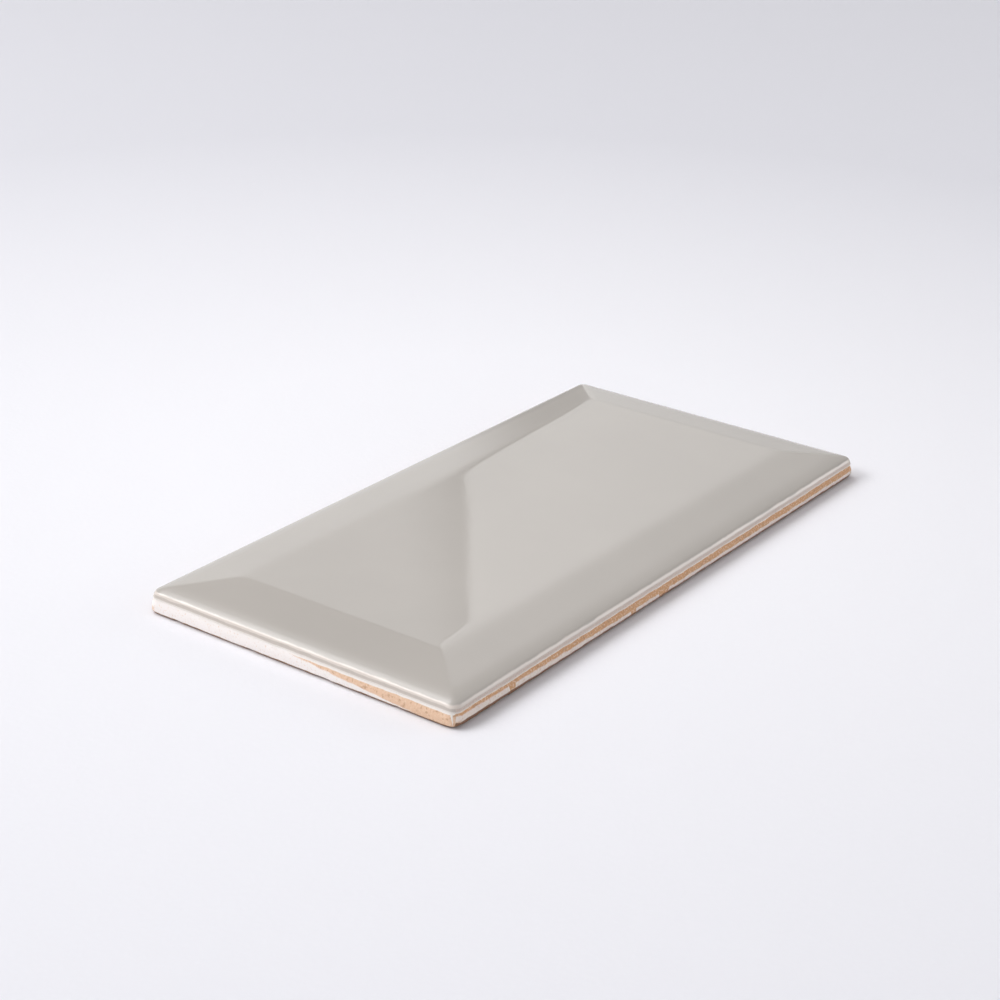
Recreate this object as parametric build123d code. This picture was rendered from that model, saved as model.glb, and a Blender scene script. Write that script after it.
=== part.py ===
from build123d import *
import os
from math import radians, tan

# Bevelled wall tile, dust-pressed, glazed and fired as one piece, in millimetres.
# The origin is the centre of the back, in the plane in which the tile is bedded.
# +X runs along the long side and +Z points out of the glazed face.

# Plan and thickness: the plan is measured at the widest line of the side wall
length = 150.0
width = 75.0
thickness = 7.0
plan_corner_radius = 1.8

# Side wall, from the bedding plane up to the outer edge of the bevel
base_arris = 0.9
widest_line_height = 1.9
wall_draft_angle = 12.0
edge_height = 4.8
shoulder_radius = 1.6

# Glazed face: bevel from the top of the wall to the flat field, and the soft turn that the glaze gives it
bevel_width = 12.5
glaze_turn_radius = 12.0

# Key on the back: straight grooves for the adhesive, inside a plain rim
groove_pitch = 7.5
groove_width = 4.0
groove_depth = 0.6
groove_draft_angle = 30.0
rim_width = 8.0


def wall_lean(height):
    """How far the side wall stands back from the widest line at a height above it."""
    return (height - widest_line_height) * tan(radians(wall_draft_angle))


# Worked out from the sizes above
field_length = length - 2 * (wall_lean(edge_height) + bevel_width)
field_width = width - 2 * (wall_lean(edge_height) + bevel_width)
bevel_slope = (thickness - edge_height) / bevel_width
groove_length = length - 2 * rim_width
groove_count = int((width - 2 * rim_width - groove_width) / groove_pitch) + 1


def edges_between(solid, low, high):
    """Edges of the solid that lie wholly between two heights."""
    chosen = ShapeList()
    for edge in solid.edges():
        box = edge.bounding_box()
        if box.min.Z > low and box.max.Z < high:
            chosen.append(edge)
    return chosen


def side_walls():
    """Foot with a rounded arris, and above it the wall, which leans in so that the die lets the tile go."""
    widest_plan = RectangleRounded(length, width, plan_corner_radius)
    foot = extrude(widest_plan, amount=widest_line_height)
    bottom_edges = foot.faces().sort_by(Axis.Z)[0].outer_wire().edges()
    foot = fillet(bottom_edges, base_arris)
    lean = wall_lean(thickness)
    top_plan = RectangleRounded(length - 2 * lean, width - 2 * lean, plan_corner_radius)
    leaning = loft([Plane.XY.offset(widest_line_height) * widest_plan, Plane.XY.offset(thickness) * top_plan])
    return foot + leaning


def hipped_block():
    """Block with a flat field and four bevels that meet in mitres, standing wider than the walls all round."""
    run = bevel_width + wall_lean(edge_height) + plan_corner_radius
    eaves_height = thickness - run * bevel_slope
    eaves = Rectangle(field_length + 2 * run, field_width + 2 * run)
    field = Rectangle(field_length, field_width)
    block = extrude(eaves, amount=eaves_height)
    block += loft([Plane.XY.offset(eaves_height) * eaves, Plane.XY.offset(thickness) * field])
    field_edges = block.edges().group_by(Axis.Z)[-1]
    mitres = [edge for edge in block.edges() if eaves_height < edge.center().Z < field_edges[0].center().Z]
    return fillet(field_edges + mitres, glaze_turn_radius)


def key_grooves():
    """Shallow round-ended grooves side by side along the back, wider at the mouth so that the punch lets go."""
    groove = extrude(SlotOverall(groove_length, groove_width), amount=groove_depth, taper=groove_draft_angle)
    return GridLocations(0, groove_pitch, 1, groove_count) * groove


def tile():
    """The whole fired piece: walls cut to the hipped face, glaze drawn round the shoulder, key pressed in the back."""
    body = side_walls() & hipped_block()
    above_widest_line = (widest_line_height + edge_height) / 2
    below_field = (edge_height + thickness) / 2
    body = fillet(edges_between(body, above_widest_line, below_field), shoulder_radius)
    return body - key_grooves()


os.makedirs("parts", exist_ok=True)
export_step(tile(), "parts/tile.step")
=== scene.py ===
from math import cos, pi, radians, sin, tan

import bpy
from mathutils import Matrix, Vector


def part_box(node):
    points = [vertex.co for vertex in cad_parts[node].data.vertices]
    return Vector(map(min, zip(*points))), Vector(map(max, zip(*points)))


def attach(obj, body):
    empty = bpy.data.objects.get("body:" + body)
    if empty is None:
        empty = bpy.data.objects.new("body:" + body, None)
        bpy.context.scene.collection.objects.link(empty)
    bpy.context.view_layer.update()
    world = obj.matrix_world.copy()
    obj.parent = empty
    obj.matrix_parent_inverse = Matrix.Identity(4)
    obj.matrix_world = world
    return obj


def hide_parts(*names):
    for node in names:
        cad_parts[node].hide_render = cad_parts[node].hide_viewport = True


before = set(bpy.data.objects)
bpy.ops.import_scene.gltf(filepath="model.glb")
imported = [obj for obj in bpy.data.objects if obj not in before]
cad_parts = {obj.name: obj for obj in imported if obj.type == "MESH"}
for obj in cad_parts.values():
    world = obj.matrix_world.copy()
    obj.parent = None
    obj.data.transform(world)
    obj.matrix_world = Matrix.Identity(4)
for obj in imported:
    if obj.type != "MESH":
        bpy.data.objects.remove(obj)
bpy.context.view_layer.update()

# The tile lies face up on a plain white sheet, as it does in the photograph.
# The sheet is matt and nearly white, with a little blue in it, and runs out of sight on all sides.
# Its colour is painted darker away from a spot beside the tile, a painted fall-off of the light.
floor_white = (0.885, 0.878, 0.92, 1)
floor_painted_falloff = (0.73, 0.727, 0.777, 1)
floor_half_size = 4.0


def add_node(tree, kind, inputs=(), **options):
    """Adds one node, sets its options, and links or fills its inputs by place or by name."""
    node = tree.nodes.new(kind)
    for option, value in options.items():
        setattr(node, option, value)
    places = inputs.items() if isinstance(inputs, dict) else enumerate(inputs)
    for place, value in places:
        if isinstance(value, bpy.types.NodeSocket):
            tree.links.new(value, node.inputs[place])
        elif value is not None:
            node.inputs[place].default_value = value
    return node


def reckon(tree, operation, *values):
    """One step of arithmetic."""
    return add_node(tree, "ShaderNodeMath", values, operation=operation).outputs[0]


def carry(tree, value, from_low, from_high, to_low, to_high, ease="LINEAR"):
    """Carries a value from one range to another and holds it at both ends."""
    limits = (value, from_low, from_high, to_low, to_high)
    return add_node(tree, "ShaderNodeMapRange", limits, interpolation_type=ease).outputs[0]


def split(tree, vector):
    """The three parts of a vector."""
    return add_node(tree, "ShaderNodeSeparateXYZ", (vector,)).outputs


def blend(tree, share, first, second):
    """Mixes two colours."""
    return add_node(tree, "ShaderNodeMix", {0: share, 6: first, 7: second}, data_type="RGBA").outputs[2]


def grains(tree, spot, scale, detail=2.0):
    """Cloudy noise from 0 to 1 with its middle near a half."""
    look = {"Vector": spot, "Scale": scale, "Detail": detail}
    return add_node(tree, "ShaderNodeTexNoise", look).outputs[0]


def bumped(tree, height, distance, **more):
    """The normal of a surface that stands up by a distance where a value is high."""
    return add_node(tree, "ShaderNodeBump", {"Height": height, "Distance": distance, **more}).outputs[0]


def new_material(name):
    """An empty node material and its tree."""
    material = bpy.data.materials.new(name)
    material.use_nodes = True
    material.node_tree.nodes.clear()
    return material, material.node_tree


def mesh_object(name, mesh):
    """Puts a mesh into the scene as an object at the origin."""
    made = bpy.data.objects.new(name, mesh)
    bpy.context.scene.collection.objects.link(made)
    return made


sheet_material, nodes = new_material("white_sheet")
on_sheet = add_node(nodes, "ShaderNodeTexCoord").outputs["Object"]
grain_bump = bumped(nodes, grains(nodes, on_sheet, 900.0, 3.0), 0.0002, Strength=0.35)
bright_spot = (0.03, 0.03, 0)
from_spot = add_node(nodes, "ShaderNodeVectorMath", (on_sheet, bright_spot), operation="DISTANCE")
far_off = from_spot.outputs["Value"]
# Painted light: the sheet's colour darkens with distance from the bright spot, a painted pool of light
# around the tile.
tone = blend(nodes, carry(nodes, far_off, 0.07, 0.30, 0, 1), floor_white, floor_painted_falloff)
sheet = add_node(nodes, "ShaderNodeBsdfDiffuse", {"Color": tone, "Normal": grain_bump})
seen = add_node(nodes, "ShaderNodeLightPath")
far_glow = carry(nodes, far_off, 0.9, 3.6, 0, 0.55, "SMOOTHSTEP")
glow_strength = reckon(nodes, "MULTIPLY", seen.outputs["Is Camera Ray"], far_glow)
glow = add_node(nodes, "ShaderNodeEmission", {"Strength": glow_strength})
both = add_node(nodes, "ShaderNodeAddShader", (sheet.outputs[0], glow.outputs[0]))
add_node(nodes, "ShaderNodeOutputMaterial", {"Surface": both.outputs[0]})

floor_mesh = bpy.data.meshes.new("floor")
corners = [(-1, -1), (1, -1), (1, 1), (-1, 1)]
floor_points = [(x * floor_half_size, y * floor_half_size, 0) for x, y in corners]
floor_mesh.from_pydata(floor_points, [], [(0, 1, 2, 3)])
floor_mesh.materials.append(sheet_material)
floor = mesh_object("floor", floor_mesh)

# The room: pale, with a grey curtain behind the tile, a soft white panel on each side of it, a bright
# strip overhead and a white card beside it. The glaze mirrors the panels and the dark gap between them.
# Turns, rises and leans are in degrees as seen from the tile, and a soft box lights it from the left.
room_light = 0.61
curtain_light = 0.25
strip_light = 6.5
side_card_light = 3.8
left_panel_light = 0.9
right_panel_light = 1.45
world = bpy.data.worlds.new("room")
bpy.context.scene.world = world
world.use_nodes = True
nodes = world.node_tree
nodes.nodes.clear()
direction = add_node(nodes, "ShaderNodeTexCoord").outputs["Generated"]
outward = split(nodes, direction)
turn = reckon(nodes, "DEGREES", reckon(nodes, "ARCTAN2", outward["X"], outward["Y"]))
rise = reckon(nodes, "DEGREES", reckon(nodes, "ARCSINE", outward["Z"]))
curtain = reckon(
    nodes,
    "MULTIPLY",
    reckon(nodes, "MULTIPLY", carry(nodes, turn, 20, 34, 0, 1), carry(nodes, turn, 100, 116, 1, 0)),
    carry(nodes, rise, 60, 74, 1, 0),
)
left_edge = reckon(nodes, "MULTIPLY_ADD", rise, 0.222, 47.7)
left_panel = reckon(
    nodes,
    "MULTIPLY",
    carry(nodes, reckon(nodes, "SUBTRACT", turn, left_edge), -1.6, 1.6, 1, 0, "SMOOTHSTEP"),
    carry(nodes, rise, 29, 36, 1, 0, "SMOOTHSTEP"),
)
right_edge = reckon(nodes, "MULTIPLY_ADD", rise, 0.06, 52.33)
past_edge = reckon(nodes, "SUBTRACT", turn, right_edge)
right_panel = reckon(
    nodes,
    "MULTIPLY",
    reckon(nodes, "MULTIPLY", carry(nodes, past_edge, -0.1, 0.1, 0, 1), carry(nodes, turn, 57, 79, 1, 0.1)),
    reckon(
        nodes,
        "MULTIPLY",
        carry(nodes, rise, 36, 44, 1, 0, "SMOOTHSTEP"),
        carry(nodes, rise, 15, 27, 0.62, 1),
    ),
)
wall = carry(nodes, curtain, 0, 1, room_light, curtain_light)
panels = reckon(
    nodes,
    "ADD",
    reckon(nodes, "MULTIPLY", left_panel, reckon(nodes, "MULTIPLY", curtain, left_panel_light)),
    reckon(nodes, "MULTIPLY", right_panel, reckon(nodes, "MULTIPLY", curtain, right_panel_light)),
)
lean = reckon(nodes, "DEGREES", reckon(nodes, "ARCTAN2", outward["X"], outward["Z"]))
strip = reckon(
    nodes,
    "MULTIPLY",
    reckon(nodes, "MULTIPLY", carry(nodes, lean, 32, 2, 0, 1), carry(nodes, lean, -24, -18, 0, 1)),
    reckon(
        nodes,
        "MULTIPLY",
        carry(nodes, outward["Y"], 0.34, 0.42, 0, 1),
        carry(nodes, outward["Y"], 0.60, 0.68, 1, 0),
    ),
)
toward_card = (0.777, -0.565, 0.276)
card_nearness = add_node(nodes, "ShaderNodeVectorMath", (direction, toward_card), operation="DOT_PRODUCT")
card = carry(nodes, card_nearness.outputs["Value"], 0.965, 0.985, 0, side_card_light, "SMOOTHSTEP")
strip_and_card = reckon(nodes, "MULTIPLY_ADD", strip, strip_light, card)
lit = reckon(nodes, "ADD", reckon(nodes, "ADD", wall, panels), strip_and_card)
seen = add_node(nodes, "ShaderNodeLightPath")
strength = add_node(nodes, "ShaderNodeMix", {"Factor": seen.outputs["Is Camera Ray"], "A": lit, "B": 1.0})
room = add_node(nodes, "ShaderNodeBackground", {"Strength": strength.outputs[0]})
add_node(nodes, "ShaderNodeOutputWorld", {"Surface": room.outputs[0]})


def soft_box(name, turn, height, distance, size, brightness):
    """A soft box that faces the tile: turn is from +Y towards +X, height is above the floor."""
    light = bpy.data.lights.new(name, "AREA")
    light.shape = "RECTANGLE"
    light.size = size[0]
    light.size_y = size[1]
    light.energy = brightness * pi * size[0] * size[1]
    holder = bpy.data.objects.new(name, light)
    bpy.context.scene.collection.objects.link(holder)
    away = Vector((sin(turn) * cos(height), cos(turn) * cos(height), sin(height)))
    holder.location = away * distance
    holder.rotation_mode = "QUATERNION"
    holder.rotation_quaternion = away.to_track_quat("Z", "Y")
    holder.visible_camera = False
    return holder


soft_box("key_box", radians(-48), radians(38), 1.4, (0.9, 0.5), 7.5)

# The camera: stands at the tile's left front corner and looks down on it.
view_turn = radians(54.696)
view_down = radians(23.674)
view_roll = radians(1.763)
view_place = Vector((-0.35015, -0.24041, 0.19493))
view_lens = 79.78

camera_data = bpy.data.cameras.new("camera")
camera_data.lens = view_lens
camera_data.sensor_width = 36.0
camera_data.clip_start = 0.01
camera = bpy.data.objects.new("camera", camera_data)
bpy.context.scene.collection.objects.link(camera)
tilt = Matrix.Rotation(pi / 2 - view_down, 4, "X") @ Matrix.Rotation(view_roll, 4, "Z")
camera.matrix_world = Matrix.Translation(view_place) @ Matrix.Rotation(-view_turn, 4, "Z") @ tilt
bpy.context.scene.camera = camera
bpy.context.scene.view_settings.view_transform = "Standard"

# The tile: one piece of pale red clay, pressed dry in a steel die, coated and fired.
# The die gives it the flat field, the bevels with their mitres and the leaning side wall.
# The glaze is poured on the face, softens every turn of it, and stops in a bead half way down the wall.
low_corner, high_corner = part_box("tile")
tile_length, tile_width, tile_thickness = high_corner - low_corner
mm = 0.001
widest_line = 1.9 * mm
wall_lean = 0.2126
bevel_inset = 13.12 * mm
bevel_slope = 0.158
roll_start = 8.5 * mm
roll_curve = 22.0
roll_end = 1.7 * mm
shoulder_slope = 0.38
foot_radius = 0.9 * mm
groove_rim = 8.0 * mm
glaze_edge = 3.28 * mm
glaze_coat = 0.12 * mm
face_inset = 2.4 * mm
back_inset = 1.6 * mm
section_step = 0.2 * mm
face_reach = bevel_inset - face_inset
rim_height = tile_thickness - bevel_slope * face_reach - roll_curve * (face_reach - roll_start) ** 2
rim_slope = bevel_slope + 2 * roll_curve * (face_reach - roll_start)
roll_end_height = rim_height - rim_slope * (face_inset - roll_end)
edge_drop = shoulder_slope * (roll_end + widest_line * wall_lean)
edge_height = (roll_end_height - edge_drop) / (1 - wall_lean * shoulder_slope)


def wall_inset(height):
    """How far the side wall stands back from the widest line at a height above it."""
    return max(height - widest_line, 0) * wall_lean


def rounded_line(corners, radii, step):
    """Points along a line of straight runs whose corners are rounded, none further apart than the step."""
    points = [corners[0]]
    for before, corner, after, radius in zip(corners, corners[1:], corners[2:], radii):
        back, ahead = (before - corner).normalized(), (after - corner).normalized()
        half_angle = back.angle(ahead) / 2
        centre = corner + (back + ahead).normalized() * radius / sin(half_angle)
        first = corner + back * radius / tan(half_angle)
        last = corner + ahead * radius / tan(half_angle)
        run = first - points[-1]
        count = max(round(run.length / step), 1)
        points += [points[-1] + run * i / count for i in range(1, count)]
        count = max(round(radius * (pi - 2 * half_angle) / step), 3)
        for i in range(count + 1):
            spoke = (first - centre).normalized().slerp((last - centre).normalized(), i / count)
            points.append(centre + spoke * radius)
    run = corners[-1] - points[-1]
    count = max(round(run.length / step), 1)
    points += [points[-1] + run * i / count for i in range(1, count + 1)]
    return points


section_corners = [
    Vector((face_inset, rim_height)),
    Vector((roll_end, roll_end_height)),
    Vector((wall_inset(edge_height), edge_height)),
    Vector((wall_inset(glaze_edge) - glaze_coat / 2, glaze_edge)),
    Vector((wall_inset(glaze_edge) + glaze_coat / 2, glaze_edge - glaze_coat)),
    Vector((0, widest_line)),
    Vector((0, 0)),
    Vector((back_inset, 0)),
]
section_radii = [5.0 * mm, 1.25 * mm, 0.07 * mm, 0.05 * mm, 2.0 * mm, foot_radius]


# Glaze: warm grey and glossy. It is painted paler over the shoulder, partly because it runs thin there and
# partly as a painted highlight line, is mottled on the wall below that, and ends in a cream bead. Faint
# clouds and a few pinholes lie in the face.
glaze_grey = (0.475, 0.442, 0.412, 1)
glaze_cloud = (0.462, 0.430, 0.401, 1)
thin_glaze_and_highlight = (0.70, 0.63, 0.58, 1)
glaze_wall = (0.53, 0.475, 0.43, 1)
glaze_rubbed = (0.67, 0.55, 0.485, 1)
glaze_mottle = (0.54, 0.445, 0.39, 1)
bead_cream = (0.82, 0.775, 0.73, 1)
pinhole_grey = (0.26, 0.235, 0.21, 1)


def past_corner_line(tree, spot):
    """Distance past the line through the nearest corner, over 0 on the short sides."""
    across = split(tree, add_node(tree, "ShaderNodeVectorMath", (spot,), operation="ABSOLUTE").outputs[0])
    apart = reckon(tree, "SUBTRACT", across["X"], across["Y"])
    return reckon(tree, "SUBTRACT", apart, (tile_length - tile_width) / 2)


glaze, nodes = new_material("glaze")
spot = add_node(nodes, "ShaderNodeTexCoord").outputs["Object"]
height = add_node(nodes, "ShaderNodeAttribute", attribute_name="section_height").outputs["Fac"]
short_side = carry(nodes, past_corner_line(nodes, spot), -0.6 * mm, 0.6 * mm, 0, 1)
clouds = carry(nodes, grains(nodes, spot, 38.0, 3.0), 0.35, 0.65, 0, 1)
colour = blend(nodes, clouds, glaze_grey, glaze_cloud)
uneven = reckon(nodes, "SUBTRACT", grains(nodes, spot, 260.0, 3.0), 0.5)
wavy_height = reckon(nodes, "MULTIPLY_ADD", uneven, 0.5 * mm, height)
on_wall = carry(nodes, wavy_height, 4.15 * mm, 3.95 * mm, 0, 1)
mottle = carry(nodes, grains(nodes, spot, 4200.0, 2.0), 0.4, 0.62, 0, 0.8)
long_wall = blend(nodes, mottle, glaze_rubbed, glaze_mottle)
colour = blend(nodes, on_wall, colour, blend(nodes, short_side, long_wall, glaze_wall))
# Painted highlight: the pale band over the shoulder is partly thin glaze and partly a painted highlight
# line.
thin_and_highlight_below = carry(nodes, wavy_height, 3.95 * mm, 4.1 * mm, 0, 1)
thin_and_highlight_above = carry(nodes, wavy_height, 4.45 * mm, 4.65 * mm, 1, 0)
colour = blend(nodes, reckon(nodes, "MULTIPLY", thin_and_highlight_below, thin_and_highlight_above), colour, thin_glaze_and_highlight)
bead_share = carry(nodes, short_side, 0, 1, 0.6, 0.95)
bead = reckon(nodes, "MULTIPLY", carry(nodes, height, 3.55 * mm, 3.35 * mm, 0, 1), bead_share)
colour = blend(nodes, bead, colour, bead_cream)
holes = add_node(nodes, "ShaderNodeTexVoronoi", {"Vector": spot, "Scale": 70.0})
hole_kept = reckon(nodes, "GREATER_THAN", split(nodes, holes.outputs["Color"])["X"], 0.72)
hole = reckon(nodes, "MULTIPLY", carry(nodes, holes.outputs["Distance"], 0.012, 0.024, 1, 0), hole_kept)
colour = blend(nodes, hole, colour, pinhole_grey)
gloss = carry(nodes, grains(nodes, spot, 120.0), 0.3, 0.7, 0.03, 0.045)
gloss = reckon(nodes, "MULTIPLY_ADD", on_wall, 0.14, gloss)
bump = bumped(nodes, grains(nodes, spot, 620.0, 1.0), 0.000004)
wall_grain = reckon(nodes, "MULTIPLY", grains(nodes, spot, 1900.0, 2.0), on_wall)
bump = bumped(nodes, wall_grain, 0.00003, Normal=bump)
bump = bumped(nodes, reckon(nodes, "SUBTRACT", 1, hole), 0.0001, Normal=bump)
look = {"Base Color": colour, "Roughness": gloss, "Normal": bump}
skin = add_node(nodes, "ShaderNodeBsdfPrincipled", look)
add_node(nodes, "ShaderNodeOutputMaterial", {"Surface": skin.outputs[0]})

# Bare clay: pale red, gritty, with a line of white slip under the glaze's edge. Pinkish white kiln wash is
# smeared along the foot of the long sides and over the short sides, and the very foot is painted dark
# brown: partly scorched clay, partly painted shade where the foot meets the sheet.
clay_red = (0.65, 0.36, 0.19, 1)
clay_dusted = (0.75, 0.515, 0.36, 1)
clay_dark_grain = (0.52, 0.31, 0.19, 1)
clay_pale_grain = (0.80, 0.60, 0.45, 1)
slip_white = (0.88, 0.845, 0.82, 1)
kiln_wash = (0.89, 0.85, 0.835, 1)
foot_scorch_and_shade = (0.26, 0.14, 0.08, 1)
rubbed_places = ((-57.7, 1.6), (-17.2, 1.5), (-6.0, 3.0))
fired_clay, nodes = new_material("fired_clay")
spot = add_node(nodes, "ShaderNodeTexCoord").outputs["Object"]
here = split(nodes, spot)
height = add_node(nodes, "ShaderNodeAttribute", attribute_name="section_height").outputs["Fac"]
past_corner = past_corner_line(nodes, spot)
short_side = carry(nodes, past_corner, -0.2 * mm, 0.2 * mm, 0, 1)
out_x = reckon(nodes, "SUBTRACT", reckon(nodes, "ABSOLUTE", here["X"]), tile_length / 2)
out_y = reckon(nodes, "SUBTRACT", reckon(nodes, "ABSOLUTE", here["Y"]), tile_width / 2)
on_side = carry(nodes, reckon(nodes, "MAXIMUM", out_x, out_y), -1.5 * mm, -1.0 * mm, 0, 1)
grit = grains(nodes, spot, 2600.0, 3.0)
bare_clay = blend(nodes, short_side, clay_red, clay_dusted)
colour = blend(nodes, carry(nodes, grit, 0.5, 0.68, 0, 1), bare_clay, clay_pale_grain)
dark_grains = carry(nodes, grains(nodes, spot, 1700.0, 2.0), 0.56, 0.7, 0, 0.8)
colour = blend(nodes, dark_grains, colour, clay_dark_grain)
uneven = reckon(nodes, "SUBTRACT", grains(nodes, spot, 420.0, 4.0), 0.5)
slip_height = reckon(nodes, "MULTIPLY_ADD", uneven, 0.35 * mm, height)
slip_foot = carry(nodes, short_side, 0, 1, 3.05 * mm, 2.78 * mm)
slip = carry(nodes, reckon(nodes, "SUBTRACT", slip_height, slip_foot), -0.05 * mm, 0.05 * mm, 0, 0.9)
colour = blend(nodes, slip, colour, slip_white)
wash_height = reckon(nodes, "MULTIPLY_ADD", uneven, 0.7 * mm, here["Z"])
short_top = carry(nodes, here["Y"], -33 * mm, 2 * mm, 0.2 * mm, 2.9 * mm)
long_top = carry(nodes, here["X"], -68 * mm, -25 * mm, 2.45 * mm, 1.8 * mm)
for place, width in rubbed_places:
    away = reckon(nodes, "ABSOLUTE", reckon(nodes, "SUBTRACT", here["X"], place * mm))
    whole = carry(nodes, away, width * 0.35 * mm, width * 0.65 * mm, 0, 1)
    long_top = reckon(nodes, "MULTIPLY", long_top, whole)
wash_top = add_node(nodes, "ShaderNodeMix", {0: short_side, 2: long_top, 3: short_top}).outputs[0]
wash_most = carry(nodes, short_side, 0, 1, 0.74, 0.95)
wash = carry(nodes, reckon(nodes, "SUBTRACT", wash_top, wash_height), -0.12 * mm, 0.12 * mm, 0, wash_most)
wash = reckon(nodes, "MULTIPLY", wash, carry(nodes, grit, 0.3, 0.42, 0.55, 1))
off_corner = carry(nodes, reckon(nodes, "ABSOLUTE", past_corner), 0.8 * mm, 2.0 * mm, 0, 1)
above_foot = carry(nodes, here["Z"], 1.2 * mm, 1.8 * mm, 0, 1)
wash = reckon(nodes, "MULTIPLY", wash, reckon(nodes, "MAXIMUM", off_corner, above_foot))
on_back = carry(nodes, on_side, 0, 1, 1, 0)
back_wash = reckon(nodes, "MULTIPLY", on_back, carry(nodes, here["Z"], 0.02 * mm, 0.1 * mm, 1, 0))
back_patches = carry(nodes, grains(nodes, spot, 240.0, 5.0), 0.46, 0.6, 0, 0.8)
back_wash = reckon(nodes, "MULTIPLY", back_wash, back_patches)
wash = reckon(nodes, "MAXIMUM", reckon(nodes, "MULTIPLY", wash, on_side), back_wash)
colour = blend(nodes, wash, colour, kiln_wash)
run_end = carry(nodes, reckon(nodes, "ADD", here["X"], here["Y"]), -110 * mm, -60 * mm, 0.7 * mm, 2.4 * mm)
run_width = carry(nodes, reckon(nodes, "SUBTRACT", here["Z"], run_end), 0, 2.2 * mm, 0, 0.3 * mm)
run_line = carry(nodes, here["Z"], 1.0 * mm, 2.7 * mm, 0.6 * mm, 0.85 * mm, "SMOOTHSTEP")
run_away = reckon(nodes, "ABSOLUTE", reckon(nodes, "SUBTRACT", past_corner, run_line))
run_here = carry(nodes, reckon(nodes, "SUBTRACT", run_width, run_away), -0.03 * mm, 0.03 * mm, 0, 1)
colour = blend(nodes, reckon(nodes, "MULTIPLY", run_here, on_side), colour, bead_cream)
# Painted shade: the foot is painted dark brown up to about a millimetre, partly scorched clay and partly
# painted contact shade.
foot_height = reckon(nodes, "MULTIPLY_ADD", uneven, 0.55 * mm, here["Z"])
long_foot = carry(nodes, here["X"], -70 * mm, -40 * mm, 1.45 * mm, 1.12 * mm)
foot_top = add_node(nodes, "ShaderNodeMix", {0: short_side, 2: long_foot, 3: 0.65 * mm}).outputs[0]
foot = carry(nodes, reckon(nodes, "SUBTRACT", foot_height, foot_top), -0.15 * mm, 0, 1, 0)
foot = reckon(nodes, "MULTIPLY", foot, on_side)
colour = blend(nodes, foot, colour, foot_scorch_and_shade)
dullness = carry(nodes, grit, 0.3, 0.7, 0.78, 0.95)
look = {"Base Color": colour, "Roughness": dullness, "Normal": bumped(nodes, grit, 0.00012)}
skin = add_node(nodes, "ShaderNodeBsdfPrincipled", look)
add_node(nodes, "ShaderNodeOutputMaterial", {"Surface": skin.outputs[0]})

section_line = rounded_line(section_corners, section_radii, section_step)
section_mesh = bpy.data.meshes.new("section")
section_mesh.from_pydata([(inset, 0, height) for inset, height in section_line], [], [])

tile_sizes = {
    "Length": tile_length,
    "Width": tile_width,
    "Thickness": tile_thickness,
    "Face inset": face_inset,
    "Face corner": 1.3 * mm,
    "Widest corner": 1.9 * mm,
    "Rim height": rim_height,
    "Bevel inset": bevel_inset,
    "Bevel slope": bevel_slope,
    "Roll start": roll_start,
    "Roll curve": roll_curve,
    "Short side turn": 1.0 * mm,
    "Long side turn": 3.0 * mm,
    "Mitre turn": 1.3 * mm,
    "Rim spacing": 0.31 * mm,
    "Rim cells": 44,
    "Field cells along": 200,
    "Field cells across": 72,
    "Groove length": tile_length - 2 * groove_rim,
    "Groove width": 4.0 * mm,
    "Groove depth": 0.6 * mm,
    "Groove draft": 0.35 * mm,
    "Groove pitch": 7.5 * mm,
    "Groove count": 8,
    "Glaze edge": glaze_edge,
    "Glaze coat": glaze_coat,
    "Glaze wander": 0.14 * mm,
    "Foot wear": 0.25 * mm,
    "Glaze wave": 0.006 * mm,
    "Clay roughness": 0.05 * mm,
    "Foot chip": 0.3 * mm,
    "Seed": 4,
}
shaping = bpy.data.node_groups.new("tile_shaping", "GeometryNodeTree")
shaping.interface.new_socket("Section", in_out="INPUT", socket_type="NodeSocketGeometry")
for name, value in tile_sizes.items():
    kind = "NodeSocketInt" if isinstance(value, int) else "NodeSocketFloat"
    shaping.interface.new_socket(name, in_out="INPUT", socket_type=kind)
shaping.interface.new_socket("Tile", in_out="OUTPUT", socket_type="NodeSocketGeometry")
given = add_node(shaping, "NodeGroupInput").outputs


def calc(operation, *values):
    """One step of arithmetic in the tile's tree."""
    return reckon(shaping, operation, *values)


def spread(value, from_low, from_high, to_low, to_high):
    """Carries a value of the tile's tree from one range to another."""
    return carry(shaping, value, from_low, from_high, to_low, to_high)


def field(kind, output, inputs=(), **options):
    """The named output of one more node of the tile's tree."""
    return add_node(shaping, kind, inputs, **options).outputs[output]


# Face of the tile as a grid of cells, and the section hung from its edge one row after another
cells_along = calc("MULTIPLY_ADD", given["Rim cells"], 2, given["Field cells along"])
cells_across = calc("MULTIPLY_ADD", given["Rim cells"], 2, given["Field cells across"])
lines_along, lines_across = calc("ADD", cells_along, 1), calc("ADD", cells_across, 1)
face = field("GeometryNodeMeshGrid", 0, (cells_along, cells_across, lines_along, lines_across))
section_points = field("GeometryNodeAttributeDomainSize", 0, (given["Section"],))
row_count = calc("SUBTRACT", section_points, 1)
rows_start = add_node(shaping, "GeometryNodeRepeatInput", {"Iterations": row_count})
rows_end = add_node(shaping, "GeometryNodeRepeatOutput")
rows_start.pair_with_output(rows_end)
shaping.links.new(face, rows_start.inputs["Geometry"])
faces_at_edge = field("GeometryNodeInputMeshEdgeNeighbors", 0)
open_edge = field("FunctionNodeCompare", 0, {2: faces_at_edge, 3: 1}, data_type="INT", operation="EQUAL")
one_down = field("ShaderNodeCombineXYZ", 0, (0, 0, -1))
row = field(
    "GeometryNodeExtrudeMesh", 0, (rows_start.outputs["Geometry"], open_edge, one_down, 1.0), mode="EDGES"
)
shaping.links.new(row, rows_end.inputs["Geometry"])
shell = rows_end.outputs["Geometry"]

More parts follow.
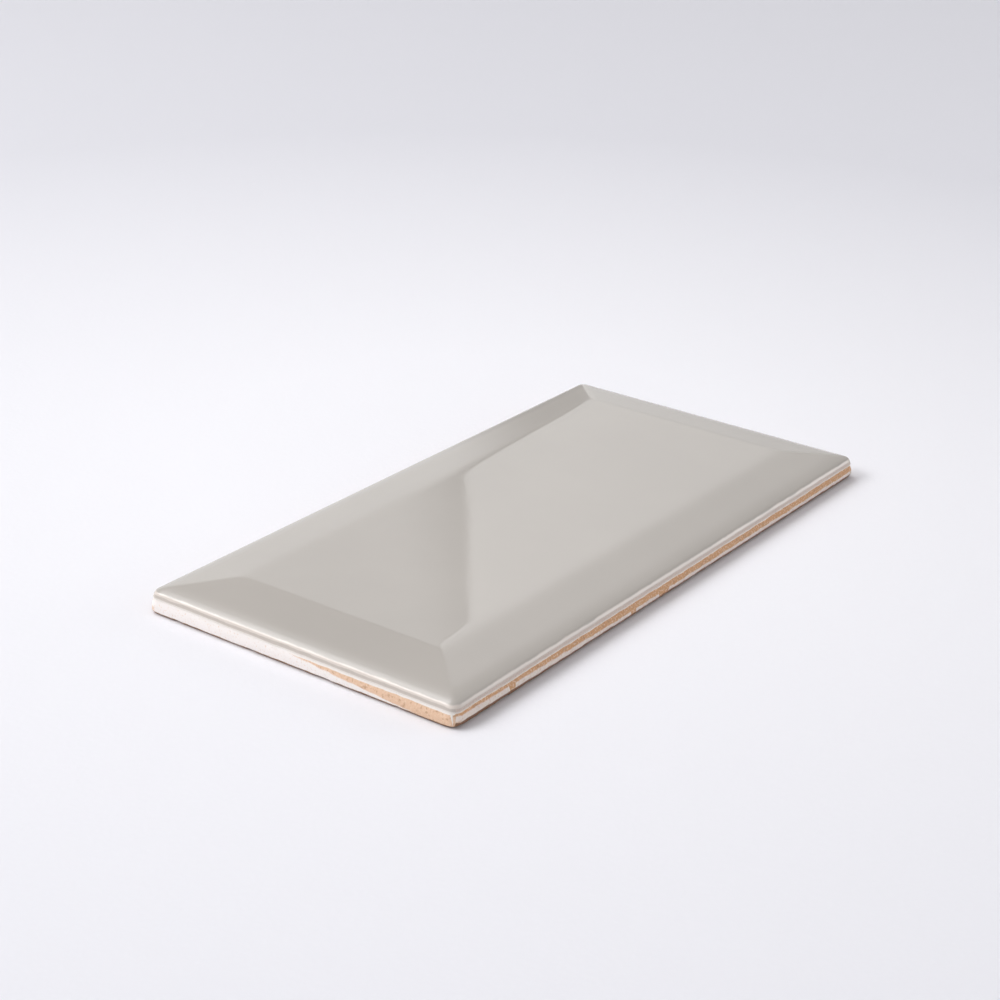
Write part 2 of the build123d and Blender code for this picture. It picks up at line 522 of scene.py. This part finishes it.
# Each point's place in the grid, and its place in the section
place = split(shaping, field("GeometryNodeInputPosition", 0))
row_number = calc("MULTIPLY", place["Z"], -1)
section_point = field("GeometryNodeInputPosition", 0)
section_place = field(
    "GeometryNodeSampleIndex",
    0,
    {"Geometry": given["Section"], "Value": section_point, "Index": row_number},
    data_type="FLOAT_VECTOR",
)
section_place = split(shaping, section_place)
inset, height = section_place["X"], section_place["Z"]
corner = spread(inset, 0, given["Face inset"], given["Widest corner"], given["Face corner"])


def plan_side(count_place, cells, size, inset):
    """Distance from the middle line for one direction of the plan, and how far into the corner it is."""
    count = calc("ABSOLUTE", count_place)
    half_cells = calc("MULTIPLY", cells, 0.5)
    rim_start = calc("SUBTRACT", half_cells, given["Rim cells"])
    half = calc("MULTIPLY", size, 0.5)
    face_half = calc("SUBTRACT", half, given["Face inset"])
    rim = calc("MULTIPLY", given["Rim cells"], given["Rim spacing"])
    inner = spread(count, 0, rim_start, 0, calc("SUBTRACT", face_half, rim))
    outer = spread(count, rim_start, half_cells, 0, rim)
    on_face = calc("ADD", inner, outer)
    straight_on_face = calc("SUBTRACT", face_half, given["Face corner"])
    straight = calc("SUBTRACT", calc("SUBTRACT", half, inset), corner)
    along = spread(on_face, 0, straight_on_face, 0, straight)
    in_corner = spread(on_face, straight_on_face, face_half, 0, corner)
    return along, in_corner


def plan_point(inset):
    """Plan place of a point in a ring with round corners."""
    along, in_x = plan_side(place["X"], cells_along, given["Length"], inset)
    across, in_y = plan_side(place["Y"], cells_across, given["Width"], inset)
    longer = calc("MAXIMUM", in_x, in_y)
    spoke = calc("SQRT", calc("MULTIPLY_ADD", in_x, in_x, calc("MULTIPLY", in_y, in_y)))
    pull = calc("DIVIDE", longer, calc("MAXIMUM", spoke, 1e-9))
    x = calc("MULTIPLY", calc("MULTIPLY_ADD", in_x, pull, along), calc("SIGN", place["X"]))
    y = calc("MULTIPLY", calc("MULTIPLY_ADD", in_y, pull, across), calc("SIGN", place["Y"]))
    return x, y


def roughness(scale, detail):
    """Noise from -1 to 1 at a point's place before it is moved, the same each time for one seed."""
    inputs = {"Vector": base_place, "W": given["Seed"], "Scale": scale, "Detail": detail}
    noise = field("ShaderNodeTexNoise", 0, inputs, noise_dimensions="4D")
    return spread(noise, 0.25, 0.75, -1, 1)


def past_bevel(across, half_size):
    """How far a point is past the line where the field turns into the bevel."""
    return calc("SUBTRACT", calc("ABSOLUTE", across), calc("SUBTRACT", half_size, given["Bevel inset"]))


def bevel_fall(past_field, down_bevel):
    """How far the bevel has come down, with the roll towards the shoulder in it."""
    past_roll = calc("MAXIMUM", calc("SUBTRACT", past_field, given["Roll start"]), 0)
    roll = calc("MULTIPLY", calc("MULTIPLY", past_roll, past_roll), given["Roll curve"])
    return calc("MULTIPLY_ADD", down_bevel, given["Bevel slope"], roll)


# Height of the face: four bevels that meet in mitres, softened into each other and into the field,
# and rolled down a little more towards the shoulder
base_x, base_y = plan_point(inset)
base_place = field("ShaderNodeCombineXYZ", 0, (base_x, base_y, height))
half_length, half_width = calc("MULTIPLY", given["Length"], 0.5), calc("MULTIPLY", given["Width"], 0.5)
past_x, past_y = past_bevel(base_x, half_length), past_bevel(base_y, half_width)
toward_long = calc("SUBTRACT", past_y, past_x)
turn = spread(toward_long, -1.5 * mm, 1.5 * mm, given["Short side turn"], given["Long side turn"])
past_field = calc("SMOOTH_MAX", past_x, past_y, given["Mitre turn"])
fall = bevel_fall(past_field, calc("SMOOTH_MAX", past_field, 0, turn))
wave = calc("MULTIPLY", roughness(42.0, 1.0), given["Glaze wave"])
face_height = calc("ADD", calc("SUBTRACT", given["Thickness"], fall), calc("MINIMUM", wave, 0))
on_face = calc("LESS_THAN", row_number, 0.5)

# Below the face, the rings follow the rim up and down, and the glaze's edge wanders
rim_x, rim_y = plan_point(given["Face inset"])
rim_past_x, rim_past_y = past_bevel(rim_x, half_length), past_bevel(rim_y, half_width)
rim_past = calc("SMOOTH_MAX", rim_past_x, rim_past_y, given["Mitre turn"])
rim_fall = bevel_fall(rim_past, rim_past)
lift = calc("SUBTRACT", calc("SUBTRACT", given["Thickness"], rim_fall), given["Rim height"])
lift_share = spread(height, given["Glaze edge"], given["Rim height"], 0, 1)
from_edge = calc("ABSOLUTE", calc("SUBTRACT", height, given["Glaze edge"]))
edge_share = spread(from_edge, 0.2 * mm, 1.5 * mm, 1, 0)
on_long_side = spread(calc("SUBTRACT", rim_past_y, rim_past_x), -0.4 * mm, 1.2 * mm, 0, 1)
drift = calc("ADD", roughness(55.0, 1.0), calc("MULTIPLY", roughness(330.0, 2.0), 0.45))
wander = calc("MULTIPLY", calc("MULTIPLY", drift, given["Glaze wander"]), edge_share)
ring_height = calc("ADD", calc("MULTIPLY_ADD", lift, lift_share, height), wander)
final_height = calc("MULTIPLY_ADD", calc("SUBTRACT", face_height, ring_height), on_face, ring_height)

# The bare clay is rough, and its foot is chipped
bare_share = spread(height, calc("SUBTRACT", given["Glaze edge"], given["Glaze coat"]), 0.2 * mm, 0, 1)
rough_clay = calc("MULTIPLY", calc("ADD", roughness(900.0, 3.0), 1), given["Clay roughness"])
chips = spread(roughness(210.0, 2.0), 0.12, 0.42, 0, given["Foot chip"])
chips = calc("MULTIPLY", chips, spread(height, 0.15 * mm, 0.75 * mm, 1, 0))
foot_wear = calc("MULTIPLY", on_long_side, spread(height, 0.2 * mm, 1.25 * mm, given["Foot wear"], 0))
worn = calc("MULTIPLY_ADD", rough_clay, spread(bare_share, 0, 0.1, 0, 0.5), calc("ADD", chips, foot_wear))
final_x, final_y = plan_point(calc("ADD", inset, worn))
shaped_place = field("ShaderNodeCombineXYZ", 0, (final_x, final_y, final_height))
told = {"Geometry": shell, "Name": "section_height", "Value": height}
heights_kept = field("GeometryNodeStoreNamedAttribute", 0, told, data_type="FLOAT", domain="POINT")
shaped = field("GeometryNodeSetPosition", 0, {"Geometry": heights_kept, "Position": shaped_place})

# The back closes the shell, and the key grooves are cut out of it
rim_curve = field("GeometryNodeMeshToCurve", 0, {"Mesh": shaped, "Selection": open_edge})
back = field("GeometryNodeFlipFaces", 0, (field("GeometryNodeFillCurve", 0, (rim_curve,), mode="NGONS"),))
joined = add_node(shaping, "GeometryNodeJoinGeometry")
for part in (back, shaped):
    shaping.links.new(part, joined.inputs[0])
closed = field("GeometryNodeMergeByDistance", 0, {"Geometry": joined.outputs[0], "Distance": 1e-6})
mouth_radius = calc("MULTIPLY", given["Groove width"], 0.5)
ends = add_node(shaping, "GeometryNodeJoinGeometry")
for step, depth_share in (("ADD", -1), ("SUBTRACT", 1)):
    ring_size = {"Resolution": 24, "Radius": calc(step, mouth_radius, given["Groove draft"])}
    ring = field("GeometryNodeCurvePrimitiveCircle", 0, ring_size)
    ring_rise = calc("MULTIPLY", given["Groove depth"], depth_share)
    ring_drop = field("ShaderNodeCombineXYZ", 0, (0, 0, ring_rise))
    ring = field("GeometryNodeSetPosition", 0, {"Geometry": ring, "Offset": ring_drop})
    shaping.links.new(ring, ends.inputs[0])
end_reach = calc("SUBTRACT", calc("MULTIPLY", given["Groove length"], 0.5), mouth_radius)
end_points = field(
    "GeometryNodeMeshLine",
    0,
    {
        "Count": 2,
        "Start Location": field("ShaderNodeCombineXYZ", 0, (calc("MULTIPLY", end_reach, -1), 0, 0)),
        "Offset": field("ShaderNodeCombineXYZ", 0, (calc("MULTIPLY", end_reach, 2), 0, 0)),
    },
)
both_ends = field("GeometryNodeInstanceOnPoints", 0, {"Points": end_points, "Instance": ends.outputs[0]})
groove = field("GeometryNodeConvexHull", 0, (field("GeometryNodeRealizeInstances", 0, (both_ends,)),))
groove_span = calc("MULTIPLY", calc("SUBTRACT", given["Groove count"], 1), given["Groove pitch"])
first_groove = field("ShaderNodeCombineXYZ", 0, (0, calc("MULTIPLY", groove_span, -0.5), 0))
groove_points = field(
    "GeometryNodeMeshLine",
    0,
    {
        "Count": given["Groove count"],
        "Start Location": first_groove,
        "Offset": field("ShaderNodeCombineXYZ", 0, (0, given["Groove pitch"], 0)),
    },
)
grooves = field("GeometryNodeInstanceOnPoints", 0, {"Points": groove_points, "Instance": groove})
grooves = field("GeometryNodeRealizeInstances", 0, (grooves,))
cut = {"Mesh 1": closed, "Mesh 2": grooves}
keyed = field("GeometryNodeMeshBoolean", 0, cut, operation="DIFFERENCE", solver="MANIFOLD")
edge_angle = field("GeometryNodeInputMeshEdgeAngle", 0)
sharp = field("FunctionNodeCompare", 0, (edge_angle, radians(25)), operation="GREATER_THAN")
smoothed = field("GeometryNodeSetShadeSmooth", 0, {"Geometry": keyed, "Shade Smooth": True}, domain="FACE")
creased = {"Geometry": smoothed, "Selection": sharp, "Shade Smooth": False}
smoothed = field("GeometryNodeSetShadeSmooth", 0, creased, domain="EDGE")

# Glaze above its edge, bare clay below it and on the back
glaze_foot = calc("SUBTRACT", given["Glaze edge"], given["Glaze coat"])
height_kept = field("GeometryNodeInputNamedAttribute", 0, ("section_height",), data_type="FLOAT")
bare = field("FunctionNodeCompare", 0, (height_kept, glaze_foot), operation="LESS_THAN")
finished = field("GeometryNodeRealizeInstances", 0, (smoothed,))
finished = field("GeometryNodeSetMaterial", 0, {"Geometry": finished, "Material": glaze})
clay_part = {"Geometry": finished, "Selection": bare, "Material": fired_clay}
finished = field("GeometryNodeSetMaterial", 0, clay_part)
add_node(shaping, "NodeGroupOutput", (finished,))

blank = mesh_object("tile_blank", section_mesh)
modifier = blank.modifiers.new("shaping", "NODES")
modifier.node_group = shaping
for socket in shaping.interface.items_tree:
    if socket.name in tile_sizes:
        modifier[socket.identifier] = tile_sizes[socket.name]
evaluated = blank.evaluated_get(bpy.context.evaluated_depsgraph_get())
tile_mesh = bpy.data.meshes.new_from_object(evaluated)
bpy.data.objects.remove(blank)
tile = mesh_object("glazed_tile", tile_mesh)
tile_mesh.materials.pop(index=0)
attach(tile, "root")
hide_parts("tile")
